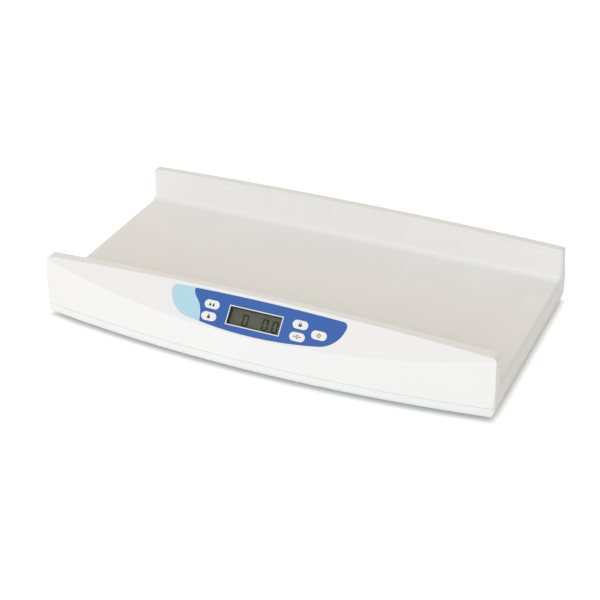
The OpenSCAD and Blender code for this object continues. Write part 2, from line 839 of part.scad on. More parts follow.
module battery_door() {
    color("white") {
        translate([-door_w / 2, bay_y - door_len / 2, foot_drop]) difference() {
            cube([door_w, door_len, door_t]);
            // finger ridges
            for (i = [0:4]) translate([door_w / 2 - 9, door_len - 5 - 2.4 * i, -overrun])
                cube([18, 1.2, overrun + 0.5]);
        }
        // catches that hook into the bay's side walls
        for (s = [0, 1], y = catch_at) mirror([s, 0, 0]) translate([bay_w / 2 - 1.6, bay_y + y, door_top]) {
            cube([1.3, catch_len, catch_z - door_top + 1.2]);
            translate([0, 0, catch_z - door_top]) cube([2.8, catch_len, 1.2]);
        }
    }
}

nub_len = 1.2;

function battery_x(i) = (i - (battery_count - 1) / 2) * (battery_d + battery_gap);

module batteries() {
    color("slategray") for (i = [0:battery_count - 1]) translate([battery_x(i), bay_y, battery_z])
        mirror([0, i % 2, 0]) rotate([-90, 0, 0]) {
            translate([0, 0, -battery_len / 2]) cylinder(h = battery_len - nub_len, r = battery_d / 2);
            translate([0, 0, battery_len / 2 - nub_len]) cylinder(h = nub_len, r = 2.75);
        }
}

module battery_contacts() {
    gap = (bay_len - battery_len) / 2;
    t = 0.4;
    bow = gap - seat_gap;
    leaf_r = arc_r(10, bow);
    color("gold") for (i = [0:battery_count - 1], s = [0, 1])
        translate([battery_x(i), bay_y, battery_z]) mirror([0, s, 0]) {
            // plate against the bay's end wall
            translate([-5.5, bay_len / 2 - t, -5.5]) cube([11, t, 11]);
            // bowed leaf that presses on the cell
            translate([0, bay_len / 2 - t / 2, 0]) rotate([0, -90, 0])
                linear_extrude(height = 5, center = true) difference() {
                    translate([0, leaf_r - bow + t / 2]) circle(r = leaf_r);
                    translate([0, leaf_r - bow + t / 2]) circle(r = leaf_r - t);
                    translate([-2 * leaf_r, 0]) square([4 * leaf_r, 4 * leaf_r]);
                }
        }
}

// ---------- load cells and feet ----------

module load_cell(c) {
    color("silver") translate([c[0], c[1], cell_z]) linear_extrude(height = cell_t) difference() {
        centred(cell_size, cell_size);
        // slot that frees the tongue on three sides
        difference() {
            centred(cell_size - 16, cell_size - 16);
            translate([-5, -cell_size / 2]) square([10, cell_size - 16]);
        }
        for (x = [-1, 1], y = [-1, 1]) translate([x * post_at, y * post_at]) circle(r = board_screw_r + 0.3);
    }
}

module load_cell_front_left() { load_cell(corners[0]); }
module load_cell_front_right() { load_cell(corners[1]); }
module load_cell_back_left() { load_cell(corners[2]); }
module load_cell_back_right() { load_cell(corners[3]); }

gauge_t = 0.8;
gauge_len = 12;
gauge_reach = 14;

module gauge_pads() {
    color("ivory") for (c = corners) translate([c[0] - 4, c[1] - gauge_reach, cell_z + cell_t])
        cube([8, gauge_len, gauge_t]);
}

module cell_screws() {
    color("gray") for (c = corners, x = [-1, 1], y = [-1, 1])
        translate([c[0] + x * post_at, c[1] + y * post_at, cell_z + cell_t]) mirror([0, 0, 1])
            screw(board_screw_r, cell_t + post_h - 0.5, 2, 1.3);
}

pad_t = 2;
foot_lift = 0.25;

module foot(c) {
    color("white") translate([c[0], c[1], 0]) {
        difference() {
            translate([0, 0, pad_t / 2]) cylinder(h = base_floor_z - pad_t / 2 + fit_gap, r = foot_r);
            translate([0, 0, -overrun]) cylinder(h = pad_t + overrun, r = foot_r - 1.5);
        }
        translate([0, 0, base_floor_z + fit_gap]) cylinder(h = foot_flange_t, r = flange_r);
        cylinder_between(base_floor_z + foot_flange_t, cell_z - foot_lift - fit_gap, 4);
    }
}

module cylinder_between(z0, z1, r) {
    translate([0, 0, z0]) cylinder(h = z1 - z0, r = r);
}

module foot_pad(c) {
    color("dimgray") translate([c[0], c[1], 0]) difference() {
        cylinder(h = pad_t, r = foot_r - 1.5 - fit_gap);
        translate([0, 0, -overrun]) cylinder(h = 0.6 + overrun, r = foot_r - 6);
    }
}

module foot_front_left() { foot(corners[0]); }
module foot_front_right() { foot(corners[1]); }
module foot_back_left() { foot(corners[2]); }
module foot_back_right() { foot(corners[3]); }
module foot_pad_front_left() { foot_pad(corners[0]); }
module foot_pad_front_right() { foot_pad(corners[1]); }
module foot_pad_back_left() { foot_pad(corners[2]); }
module foot_pad_back_right() { foot_pad(corners[3]); }

// ---------- leads: straight stretches along the axes, joined by round bends ----------

bend_r = 3.5;

module rod(a, b, r) {
    d = b - a;
    translate(a) rotate([0, acos(d[2] / norm(d)), atan2(d[1], d[0])]) cylinder(h = norm(d), r = r, $fn = 16);
}

// A quarter bend at p, coming in along u and going out along v
module bend(p, u, v, r) {
    c = p - bend_r * u + bend_r * v;
    w = cross(u, v);
    multmatrix([[-v[0], u[0], w[0], c[0]], [-v[1], u[1], w[1], c[1]], [-v[2], u[2], w[2], c[2]], [0, 0, 0, 1]])
        rotate_extrude(angle = 90) translate([bend_r, 0]) circle(r = r, $fn = 16);
}

module lead(points, r) {
    last = len(points) - 1;
    for (i = [0:last - 1]) {
        d = unit(points[i + 1] - points[i]);
        rod(points[i] + (i > 0 ? bend_r : 0) * d, points[i + 1] - (i < last - 1 ? bend_r : 0) * d, r);
    }
    for (i = [1:last - 1])
        bend(points[i], unit(points[i] - points[i - 1]), unit(points[i + 1] - points[i]), r);
}

lead_z = base_floor_z + seat_gap + lead_r;
// A lead stops this far below the plug's slanted face
function plug_z(y) = face_z(y, board_back + plug_h) - lead_r / tan(face_tilt) - seat_gap;
lane_back = tray_front_y - 11;
lane_front = tray_front_y - 18;
lane_battery = tray_front_y - 18;

module cell_leads() {
    gauge_z = cell_z + cell_t + lead_r + seat_gap;
    edge_y = cell_size / 2 + 3 + bend_r;
    lane_x = foot_x - cell_size / 2 - 8;
    start_y = gauge_reach + seat_gap + 0.2;
    color("black") for (s = [0, 1]) mirror([s, 0, 0]) {
        // front cell: over the plate's front edge, down to the floor, along the front, up to its plug
        lead([[-foot_x, -foot_y - start_y, gauge_z], [-foot_x, -foot_y - edge_y, gauge_z],
              [-foot_x, -foot_y - edge_y, lead_z], [-foot_x + 2 * bend_r + 1, -foot_y - edge_y, lead_z],
              [-foot_x + 2 * bend_r + 1, lane_front, lead_z], [cell_plug_x[0], lane_front, lead_z],
              [cell_plug_x[0], lane_front, plug_z(lane_front)]], lead_r);
        // back cell
        lead([[-foot_x, foot_y - start_y, gauge_z], [-foot_x, foot_y - edge_y, gauge_z],
              [-foot_x, foot_y - edge_y, lead_z], [-lane_x, foot_y - edge_y, lead_z],
              [-lane_x, lane_back, lead_z], [cell_plug_x[1], lane_back, lead_z],
              [cell_plug_x[1], lane_back, plug_z(lane_back)]], lead_r);
    }
}

module battery_leads() {
    y0 = bay_y - bay_len / 2 - bay_wall - seat_gap;
    color("firebrick") for (x = battery_plug_x)
        lead([[x, y0, lead_z], [x, lane_battery, lead_z], [x, lane_battery, plug_z(lane_battery)]], lead_r);
}

tray_housing();
base_shell();
panel_overlay();
lcd_frame();
lcd_window();
lcd_panel();
lcd_digits();
lcd_holder();
contact_strips();
main_board();
board_parts();
board_screws();
switch_bodies();
key_unit_upper();
key_unit_lower();
key_hold();
key_zero();
key_power();
plunger_unit_upper();
plunger_unit_lower();
plunger_hold();
plunger_zero();
plunger_power();
battery_door();
batteries();
battery_contacts();
load_cell_front_left();
load_cell_front_right();
load_cell_back_left();
load_cell_back_right();
gauge_pads();
cell_screws();
foot_front_left();
foot_front_right();
foot_back_left();
foot_back_right();
foot_pad_front_left();
foot_pad_front_right();
foot_pad_back_left();
foot_pad_back_right();
cell_leads();
battery_leads();
housing_screws();
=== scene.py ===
"""Look of a digital baby weighing scale: materials, panel, figures, key symbols, light, camera."""

import math

import bpy
from mathutils import Matrix, Vector


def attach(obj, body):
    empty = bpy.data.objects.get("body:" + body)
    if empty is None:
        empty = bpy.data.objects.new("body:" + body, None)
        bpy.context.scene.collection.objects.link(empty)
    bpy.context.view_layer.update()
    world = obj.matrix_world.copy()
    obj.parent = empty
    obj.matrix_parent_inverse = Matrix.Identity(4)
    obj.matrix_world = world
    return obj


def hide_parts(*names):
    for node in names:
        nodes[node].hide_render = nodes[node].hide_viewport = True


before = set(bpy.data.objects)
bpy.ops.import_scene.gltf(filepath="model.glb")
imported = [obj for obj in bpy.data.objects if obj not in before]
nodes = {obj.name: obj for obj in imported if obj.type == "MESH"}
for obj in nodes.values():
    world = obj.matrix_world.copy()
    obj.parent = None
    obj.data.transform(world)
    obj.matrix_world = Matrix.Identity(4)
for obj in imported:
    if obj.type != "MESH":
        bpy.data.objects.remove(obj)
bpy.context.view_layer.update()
scene = bpy.context.scene

# ---------- sizes ----------

MM = 0.001

# The display face: its origin in metres, and how far it leans back from upright in degrees
FACE_TOP = Vector((0.0, -0.1358, 0.0835))
FACE_TILT = 42.0
face_frame = Matrix.Translation(FACE_TOP) @ Matrix.Rotation(math.radians(90 - FACE_TILT), 4, "X")

# On the display face all is in millimetres: x along the scale, y up the face, z out of it.
# The display's frame: its width and height outside, the width of its line, and its middle
LCD_W, LCD_H = 71.0, 24.5
LCD_LINE = 1.2
LCD_Y = -19.65
# The top of the display cell, which lies under the window
GLASS_TOP = -4.7

# The keys: width and height outside, how far they stand proud, and their middles
KEY_W, KEY_H = 20.0, 10.8
KEY_PROUD = 0.9
PAIR_X, POWER_X = 58.4, 84.4
UPPER_Y, LOWER_Y = LCD_Y + 7.5, LCD_Y - 7.5
KEY_SPOTS = {
    "unit_upper": (-PAIR_X, UPPER_Y),
    "unit_lower": (-PAIR_X, LOWER_Y),
    "hold": (PAIR_X, UPPER_Y),
    "zero": (PAIR_X, LOWER_Y),
    "power": (POWER_X, LCD_Y),
}

# The film: its thickness, its softened edge, and the gaps round it and round what comes through
FILM_T = 0.5
FILM_EDGE = 0.12
PANEL_GAP = 0.15
SLIDE_GAP = 0.2
# Half its width, its lower and upper corners, and the middle and bow of its top and bottom edges
PANEL_HALF_W = 115.5
PANEL_SIDE_R = 34.5
PANEL_TOP_R = 6.0
PANEL_TOP, PANEL_TOP_SAG = 4.9, 2.3
PANEL_BOTTOM, PANEL_BOTTOM_RISE = 39.9, 12.6

# The pale line between the film's two colours: width, gap on each side, sink, edge and reach
LINE_W = 1.5
LINE_GAP = 0.05
LINE_SINK = 0.005
LINE_EDGE = 0.04
LINE_TOP, LINE_BOTTOM = PANEL_TOP - 1.9, 6.2 - PANEL_BOTTOM
LINE_LEN, LINE_STEPS = 41.0, 80

# The figures: height, width, spacing, width and gap of their bars, and the first one's middle
DIGIT_H, DIGIT_W, DIGIT_PITCH = 15.0, 8.2, 13.0
DIGIT_BAR, DIGIT_BAR_GAP = 2.3, 0.2
DIGIT_X, DIGIT_Y = -12.9, -21.7
DIGIT_PLACES = (0, 2, 3)
# The decimal point: its place between two figures, its height above their foot, and its radius
POINT_PLACE, POINT_UP, POINT_R = 2.5, 0.9, 0.85

# The display cell's figure ink and its painted shadow band: thickness of the figures and of the
# band, and their softened edge
FIGURE_T, BORDER_T, INK_EDGE = 0.12, 0.1, 0.02
# The painted shadow band, a dark border painted where the frame's edges shade the cell: its lap
# under the frame, and how far it shows on each side
BORDER_LAP = 0.6
BORDER_LEFT, BORDER_RIGHT, BORDER_TOP, BORDER_BOTTOM = 2.4, 0.2, 1.2, 0.1
# The dark lining inside the frame, painted shade on its inner walls: distance of its two faces from
# the frame, and its lower and upper end
LINING_CUTS = (0.02, 0.16)
LINING_LOW, LINING_TOP = -3.35, -0.35

# Symbols on the keys: width of a stroke, lower and upper side of the print, and its edge
STROKE = 0.85
PRINT_LOW, PRINT_TOP, PRINT_EDGE = KEY_PROUD - 0.02, KEY_PROUD + 0.04, 0.012

# ---------- materials ----------


def material(name):
    mat = bpy.data.materials.new(name)
    mat.use_nodes = True
    tree = mat.node_tree
    return mat, tree, tree.nodes["Principled BSDF"]


def node(tree, kind, **values):
    made = tree.nodes.new(kind)
    for key, value in values.items():
        setattr(made, key, value)
    return made


def noise(tree, scale, detail=3.0, rough=0.5):
    """Noise in the piece's own coordinates, so that it moves with the piece."""
    coords = node(tree, "ShaderNodeTexCoord")
    made = node(tree, "ShaderNodeTexNoise")
    made.inputs["Scale"].default_value = scale
    made.inputs["Detail"].default_value = detail
    made.inputs["Roughness"].default_value = rough
    tree.links.new(coords.outputs["Object"], made.inputs["Vector"])
    return made.outputs["Fac"]


def mapped(tree, source, low, high, start=0.3, end=0.7):
    """The source, stretched from start..end to low..high."""
    made = node(tree, "ShaderNodeMapRange")
    made.inputs["From Min"].default_value = start
    made.inputs["From Max"].default_value = end
    made.inputs["To Min"].default_value = low
    made.inputs["To Max"].default_value = high
    tree.links.new(source, made.inputs["Value"])
    return made.outputs["Result"]


def calculated(tree, operation, *values, clamp=False):
    """The result of a Math node over other nodes' outputs and plain numbers."""
    made = node(tree, "ShaderNodeMath", operation=operation, use_clamp=clamp)
    for socket, value in zip(made.inputs, values):
        if isinstance(value, float):
            socket.default_value = value
        else:
            tree.links.new(value, socket)
    return made.outputs["Value"]


def mixed(tree, share, first, second):
    """A blend of two shaders, from the first at 0 to the second at 1."""
    made = node(tree, "ShaderNodeMixShader")
    tree.links.new(share, made.inputs["Fac"])
    tree.links.new(first, made.inputs[1])
    tree.links.new(second, made.inputs[2])
    return made.outputs["Shader"]


def varied(tree, source, first, second):
    """A colour that moves between two close shades."""
    mix = node(tree, "ShaderNodeMix", data_type="RGBA")
    mix.inputs["A"].default_value = (*first, 1)
    mix.inputs["B"].default_value = (*second, 1)
    tree.links.new(source, mix.inputs["Factor"])
    return mix.outputs["Result"]


def surface(
    name,
    first,
    second,
    rough,
    metal=0.0,
    grain=900.0,
    patch=14.0,
    bump=0.02,
    coat=0.0,
    shine=0.5,
):
    """A surface with a slowly drifting colour and roughness, and a fine bump for its grain."""
    mat, tree, shader = material(name)
    slow = noise(tree, patch, 2.0)
    fine = noise(tree, grain, 2.0)
    shade = varied(tree, mapped(tree, slow, 0, 1), first, second)
    tree.links.new(shade, shader.inputs["Base Color"])
    tree.links.new(mapped(tree, slow, *rough), shader.inputs["Roughness"])
    shader.inputs["Metallic"].default_value = metal
    shader.inputs["Specular IOR Level"].default_value = shine
    shader.inputs["Coat Weight"].default_value = coat
    shader.inputs["Coat Roughness"].default_value = 0.15
    relief = node(tree, "ShaderNodeBump")
    relief.inputs["Strength"].default_value = bump
    relief.inputs["Distance"].default_value = 0.0002
    tree.links.new(fine, relief.inputs["Height"])
    tree.links.new(relief.outputs["Normal"], shader.inputs["Normal"])
    return mat


# Mouldings
white_shell = surface("white_shell", (0.9, 0.904, 0.91), (0.885, 0.888, 0.893), (0.32, 0.4))
base_shell = surface("base_shell", (0.896, 0.9, 0.905), (0.88, 0.884, 0.888), (0.34, 0.42))
white_trim = surface("white_trim", (0.9, 0.9, 0.9), (0.87, 0.87, 0.87), (0.25, 0.32))
key_white = surface("key_white", (0.9, 0.91, 0.92), (0.87, 0.88, 0.9), (0.22, 0.3))
# The film's print
FILM = {"rough": (0.3, 0.4), "bump": 0.01, "shine": 0.3}
panel_blue = surface("panel_blue", (0.037, 0.128, 0.45), (0.045, 0.143, 0.48), **FILM)
panel_pale = surface("panel_pale", (0.45, 0.72, 0.86), (0.47, 0.74, 0.88), **FILM)
panel_line = surface("panel_line", (0.52, 0.76, 1.0), (0.55, 0.78, 1.0), **FILM)
# The display and the ink
display_glass = surface(
    "display_glass", (0.195, 0.23, 0.15), (0.23, 0.245, 0.16), (0.5, 0.6), bump=0.005, shine=0.1
)
# Dark colour for painted shade on the display cell and on the frame's inner walls
frame_painted_shade = surface(
    "frame_painted_shade", (0.03, 0.033, 0.045), (0.04, 0.042, 0.055), (0.5, 0.6), bump=0.01
)
figure_ink = surface(
    "figure_ink", (0.004, 0.006, 0.003), (0.008, 0.01, 0.006), (0.6, 0.7), bump=0.005, shine=0.0
)
display_ink = surface("display_ink", (0.02, 0.022, 0.022), (0.03, 0.032, 0.03), (0.35, 0.4))
symbol_ink = surface(
    "symbol_ink", (0.03, 0.03, 0.028), (0.05, 0.048, 0.042), (0.4, 0.5), bump=0.01
)
# What is inside and underneath
contact_rubber = surface(
    "contact_rubber", (0.6, 0.25, 0.28), (0.66, 0.3, 0.32), (0.6, 0.7), bump=0.1
)
circuit_board = surface(
    "circuit_board", (0.01, 0.09, 0.03), (0.015, 0.12, 0.04), (0.3, 0.4), grain=260.0, bump=0.1
)
black_resin = surface(
    "black_resin", (0.012, 0.012, 0.013), (0.02, 0.02, 0.022), (0.4, 0.55), bump=0.08
)
screw_steel = surface(
    "screw_steel", (0.45, 0.45, 0.46), (0.55, 0.55, 0.55), (0.25, 0.4), metal=1.0
)
battery_jacket = surface(
    "battery_jacket", (0.03, 0.045, 0.06), (0.045, 0.06, 0.075), (0.25, 0.35), coat=0.3
)
spring_metal = surface(
    "spring_metal", (0.5, 0.49, 0.45), (0.6, 0.58, 0.54), (0.2, 0.35), metal=1.0
)
cell_steel = surface(
    "cell_steel",
    (0.42, 0.42, 0.43),
    (0.5, 0.5, 0.51),
    (0.3, 0.45),
    metal=1.0,
    grain=400.0,
    bump=0.1,
)
gauge_film = surface("gauge_film", (0.7, 0.6, 0.38), (0.76, 0.66, 0.42), (0.5, 0.6), bump=0.06)
foot_rubber = surface(
    "foot_rubber", (0.02, 0.02, 0.021), (0.032, 0.032, 0.034), (0.7, 0.85), bump=0.15
)
black_lead = surface(
    "black_lead", (0.012, 0.012, 0.012), (0.02, 0.02, 0.02), (0.45, 0.6), bump=0.05
)
red_lead = surface("red_lead", (0.4, 0.02, 0.015), (0.46, 0.03, 0.02), (0.45, 0.6), bump=0.05)


def clear_window():
    """A thin clear pane: mostly see-through, with a faint smoky tint and a gloss that drifts."""
    mat, tree, shader = material("clear_window")
    shader.inputs["Base Color"].default_value = (0.1, 0.105, 0.1, 1)
    shader.inputs["Alpha"].default_value = 0.22
    haze = noise(tree, 40.0)
    tree.links.new(mapped(tree, haze, 0.04, 0.1), shader.inputs["Roughness"])
    return mat


window_clear = clear_window()

LOOKS = {
    "tray_housing": white_shell,
    "base_shell": base_shell,
    "lcd_frame": white_trim,
    "lcd_window": window_clear,
    "lcd_panel": display_glass,
    "lcd_digits": display_ink,
    "lcd_holder": white_trim,
    "contact_strips": contact_rubber,
    "main_board": circuit_board,
    "board_parts": black_resin,
    "board_screws": screw_steel,
    "switch_bodies": black_resin,
    "battery_door": base_shell,
    "batteries": battery_jacket,
    "battery_contacts": spring_metal,
    "gauge_pads": gauge_film,
    "cell_screws": screw_steel,
    "housing_screws": screw_steel,
    "cell_leads": black_lead,
    "battery_leads": red_lead,
}
# The first start that fits a name counts
LOOKS_BY_START = {
    "key_": key_white,
    "plunger_": black_resin,
    "load_cell_": cell_steel,
    "foot_pad_": foot_rubber,
    "foot_": white_trim,
}


def look_of(name):
    if name in LOOKS:
        return LOOKS[name]
    for start, mat in LOOKS_BY_START.items():
        if name.startswith(start):
            return mat
    return None


for name, piece in nodes.items():
    mat = look_of(name)
    if mat:
        piece.data.materials.clear()
        piece.data.materials.append(mat)

# ---------- outlines on the display face ----------


def arc_r(chord, rise):
    """Radius of an arc over a chord."""
    return (chord * chord / 4 + rise * rise) / (2 * rise)


def arc(cx, cy, r, start, end, steps):
    """Points round a centre, from one angle to another in degrees."""
    angles = [math.radians(start + (end - start) * i / steps) for i in range(steps + 1)]
    return [(cx + r * math.cos(a), cy + r * math.sin(a)) for a in angles]


def stadium(cx, cy, w, h, steps=20):
    left = arc(cx - (w - h) / 2, cy, h / 2, 90, 270, steps)
    return left + arc(cx + (w - h) / 2, cy, h / 2, -90, 90, steps)


def rectangle(x0, y0, x1, y1):
    return [(x0, y0), (x1, y0), (x1, y1), (x0, y1)]


def round_display(half_w, half_h):
    """A rectangle about the display's middle."""
    return rectangle(-half_w, LCD_Y - half_h, half_w, LCD_Y + half_h)


def shifted(outline, dx, dy):
    return [(x + dx, y + dy) for x, y in outline]


def without_repeats(outline, nearest=0.004):
    """The outline with points that fall on their neighbour left out."""
    kept = []
    for point in outline:
        if not kept or math.dist(point, kept[-1]) > nearest:
            kept.append(point)
    while math.dist(kept[0], kept[-1]) <= nearest:
        kept.pop()
    return kept


def flat_piece(name, outlines, z0, z1, edge, mat, body, hides=()):
    """A plate on the display face with softened edges. Outlines inside others are cut out."""
    curve = bpy.data.curves.new(name, "CURVE")
    curve.dimensions = "2D"
    curve.fill_mode = "BOTH"
    curve.extrude = (z1 - z0) / 2 - edge
    curve.bevel_depth = edge
    curve.bevel_resolution = 2
    curve.offset = -edge
    for outline in map(without_repeats, outlines):
        spline = curve.splines.new("POLY")
        spline.points.add(len(outline) - 1)
        for point, (x, y) in zip(spline.points, outline):
            point.co = (x, y, 0, 1)
        spline.use_cyclic_u = True
    source = bpy.data.objects.new(name + "_outline", curve)
    scene.collection.objects.link(source)
    bpy.context.view_layer.update()
    depsgraph = bpy.context.evaluated_depsgraph_get()
    mesh = bpy.data.meshes.new_from_object(source.evaluated_get(depsgraph))
    bpy.data.objects.remove(source)
    middle = Matrix.Translation((0, 0, (z0 + z1) / 2))
    mesh.transform(face_frame @ Matrix.Scale(MM, 4) @ middle)
    mesh.materials.clear()
    mesh.materials.append(mat)
    mesh.name = name
    piece = bpy.data.objects.new(name, mesh)
    scene.collection.objects.link(piece)
    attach(piece, body)
    if hides:
        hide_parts(*hides)


# ---------- printed panel ----------


def crossing(c0, r0, c1, r1):
    """Where two circles cross, on the left of the line from the first centre to the second."""
    apart = math.dist(c0, c1)
    ux, uy = (c1[0] - c0[0]) / apart, (c1[1] - c0[1]) / apart
    along = (apart**2 + r0**2 - r1**2) / (2 * apart)
    off = math.sqrt(r0**2 - along**2)
    return c0[0] + along * ux - off * uy, c0[1] + along * uy + off * ux


def direction(start, end):
    return math.degrees(math.atan2(end[1] - start[1], end[0] - start[0]))


def panel_outline():
    """The printed panel: a bowed lower edge, round lower corners and a gently crowned top."""
    low_r = arc_r(2 * PANEL_HALF_W, PANEL_BOTTOM_RISE) - PANEL_GAP
    low = (0, low_r - PANEL_BOTTOM + PANEL_GAP)
    side_r = PANEL_SIDE_R - PANEL_GAP
    side_x = PANEL_HALF_W - PANEL_GAP - side_r
    side = (side_x, low[1] - math.sqrt((low_r - side_r) ** 2 - side_x**2))
    top_r = arc_r(2 * PANEL_HALF_W, PANEL_TOP_SAG)
    top = (0, PANEL_TOP - PANEL_GAP - top_r)
    corner = crossing(side, side_r - PANEL_TOP_R, top, top_r - PANEL_TOP_R)
    if corner[0] < side[0]:
        corner = crossing(top, top_r - PANEL_TOP_R, side, side_r - PANEL_TOP_R)
    meet = direction(low, side) % 360
    turn = direction(side, corner) % 360
    right = arc(*low, low_r, 270, meet, 60) + arc(*side, side_r, meet, turn, 40)
    right += arc(*corner, PANEL_TOP_R, turn - 360, direction(top, corner), 16)
    right += arc(*top, top_r, direction(top, corner), 90, 60)
    return right + [(-x, y) for x, y in reversed(right)]


# The S-shaped line between the panel's two colours: y and x of its points, down the face
SPLIT_LINE = [(6.0, -86.2), (-1.0, -85.6), (-5.5, -83.0), (-12.5, -76.6), (-17.5, -73.6)]
SPLIT_LINE += [(-22.0, -71.8), (-27.0, -70.4), (-36.0, -69.2), (-44.0, -69.0)]


def split_x(y):
    """Where the S-shaped line is at a given y, on a smooth curve through its points."""
    knots = SPLIT_LINE
    for i in range(len(knots) - 1):
        (y0, x0), (y1, x1) = knots[i], knots[i + 1]
        if y >= y1 or i == len(knots) - 2:
            before = knots[max(i - 1, 0)]
            after = knots[min(i + 2, len(knots) - 1)]
            slope0 = (x1 - before[1]) / (y1 - before[0])
            slope1 = (after[1] - x0) / (after[0] - y0)
            t = (y - y0) / (y1 - y0)
            span = y1 - y0
            return (
                (2 * t**3 - 3 * t**2 + 1) * x0
                + (t**3 - 2 * t**2 + t) * span * slope0
                + (-2 * t**3 + 3 * t**2) * x1
                + (t**3 - t**2) * span * slope1
            )


def split_panel(shift, keep_left, steps=60):
    """The panel on one side of the S-shaped line, which is moved along by shift."""
    outline = panel_outline()
    inside = [(x < split_x(y) + shift) == keep_left for x, y in outline]
    start = next(i for i in range(len(outline)) if inside[i] and not inside[i - 1])
    order = [*range(start, len(outline)), *range(start)]
    kept = [outline[i] for i in order if inside[i]]
    y_end, y_start = kept[-1][1], kept[0][1]
    line = [y_end + (y_start - y_end) * i / steps for i in range(1, steps)]
    return kept + [(split_x(y) + shift, y) for y in line]


lcd_hole = round_display(LCD_W / 2 + SLIDE_GAP, LCD_H / 2 + SLIDE_GAP)
key_hole = KEY_W + 2 * SLIDE_GAP, KEY_H + 2 * SLIDE_GAP
key_holes = [stadium(*spot, *key_hole) for spot in KEY_SPOTS.values()]
flat_piece(
    "panel_blue_field",
    [split_panel(0.0, False), lcd_hole, *key_holes],
    -FILM_T,
    0.0,
    FILM_EDGE,
    panel_blue,
    "scale",
    ["panel_overlay"],
)
flat_piece(
    "panel_pale_field",
    [split_panel(-LINE_W, True)],
    -FILM_T,
    0.0,
    FILM_EDGE,
    panel_pale,
    "scale",
)

line_ys = [LINE_TOP - LINE_LEN * i / LINE_STEPS for i in range(LINE_STEPS + 1)]
line_right = [(split_x(y) - LINE_GAP, y) for y in line_ys if y > LINE_BOTTOM]
line_left = [(x - LINE_W + 2 * LINE_GAP, y) for x, y in reversed(line_right)]
flat_piece(
    "panel_dividing_line",
    [line_right + line_left],
    -FILM_T,
    -LINE_SINK,
    LINE_EDGE,
    panel_line,
    "scale",
)

# ---------- display figures ----------


def zero_figure(x, y, w=DIGIT_W, h=DIGIT_H, t=DIGIT_BAR, gap=DIGIT_BAR_GAP):
    """The six bars of a 0 whose lower left corner is at x, y."""
    half = h / 2
    nick = half + t / 2 + gap
    top = [(gap, h), (w - gap, h), (w - t - gap, h - t), (t + gap, h - t)]
    upper_left = [(0, h - gap), (0, half + gap), (t / 2, half + gap), (t, nick), (t, h - t - gap)]
    bottom = [(px, h - py) for px, py in top]
    lower_left = [(px, h - py) for px, py in upper_left]
    upper_right = [(w - px, py) for px, py in upper_left]
    lower_right = [(w - px, py) for px, py in lower_left]
    bars = (top, bottom, upper_left, lower_left, upper_right, lower_right)
    return [shifted(outline, x, y) for outline in bars]


figures = []
figure_foot = DIGIT_Y - DIGIT_H / 2
for place in DIGIT_PLACES:
    figures += zero_figure(DIGIT_X + place * DIGIT_PITCH - DIGIT_W / 2, figure_foot)
point_x = DIGIT_X + POINT_PLACE * DIGIT_PITCH
figures.append(arc(point_x, figure_foot + POINT_UP, POINT_R, 0, 342, 19))
flat_piece(
    "display_figures",
    figures,
    GLASS_TOP,
    GLASS_TOP + FIGURE_T,
    INK_EDGE,
    figure_ink,
    "scale",
    ["lcd_digits"],
)

# Painted shadow: a dark band on the display cell, widest along the frame's left and top edges where
# their shadow falls, and a dark lining painted as shade inside the display's frame
inner_w, inner_h = LCD_W / 2 - LCD_LINE, LCD_H / 2 - LCD_LINE
border_out = round_display(inner_w + BORDER_LAP, inner_h + BORDER_LAP)
border_in = rectangle(
    -inner_w + BORDER_LEFT,
    LCD_Y - inner_h + BORDER_BOTTOM,
    inner_w - BORDER_RIGHT,
    LCD_Y + inner_h - BORDER_TOP,
)
# The band: a shadow painted on the cell where the frame's left and top edges cast it
flat_piece(
    "display_painted_shadow",
    [border_out, border_in],
    GLASS_TOP,
    GLASS_TOP + BORDER_T,
    INK_EDGE,
    frame_painted_shade,
    "scale",
)
# The lining: shade painted on the frame's inner walls
flat_piece(
    "frame_wall_painted_shade",
    [round_display(inner_w - cut, inner_h - cut) for cut in LINING_CUTS],
    LINING_LOW,
    LINING_TOP,
    INK_EDGE,
    frame_painted_shade,
    "scale",
)

# ---------- symbols printed on the keys ----------


def bar(x0, y0, x1, y1, w):
    """A straight stroke with round ends."""
    turn = math.degrees(math.atan2(y1 - y0, x1 - x0))
    far_end = arc(x1, y1, w / 2, turn - 90, turn + 90, 8)
    return far_end + arc(x0, y0, w / 2, turn + 90, turn + 270, 8)


def curved_bar(cx, cy, r, start, end, w, steps=28):
    """A stroke along an arc."""
    return arc(cx, cy, r + w / 2, start, end, steps) + arc(cx, cy, r - w / 2, end, start, steps)


def arrow(x, y, length, way, w, head=1.4):
    """A short arrow along x, whose way is 1 or -1."""
    tip = x + way * length
    neck = tip - way * head
    lower = [(x, y - w / 2), (neck, y - w / 2), (neck, y - head * 0.8)]
    return lower + [(tip, y)] + [(px, 2 * y - py) for px, py in reversed(lower)]


def weight_symbol(cx, cy, size):
    """A cast weight with a round knob."""
    body = [(-1.2, -1.35), (1.2, -1.35), (0.85, 0.55), (-0.85, 0.55)]
    knob = arc(cx, cy + 1.12 * size, 0.5 * size, 0, 345, 23)
    return [shifted([(x * size, y * size) for x, y in body], cx, cy), knob]


def ring(w, h, stroke):
    """An upright oval figure."""
    whole = arc(0, 0, 1, 0, 350, 35)
    halves = (w / 2, h / 2), (w / 2 - stroke, h / 2 - stroke)
    return [[(x * half_w, y * half_h) for x, y in whole] for half_w, half_h in halves]


def padlock(w, h, stroke):
    """A closed padlock: its body, and its shackle a hair above it."""
    top, rise = 0.2, 0.7
    foot = top + 0.02
    outer, inner = w / 2 - stroke / 2, w / 2 - 1.5 * stroke
    shackle = [(outer, foot)] + arc(0, top + rise, outer, 0, 180, 24) + [(-outer, foot)]
    shackle += [(-inner, foot)] + arc(0, top + rise, inner, 180, 0, 24) + [(inner, foot)]
    return [rectangle(-w / 2, top - h, w / 2, top), shackle]


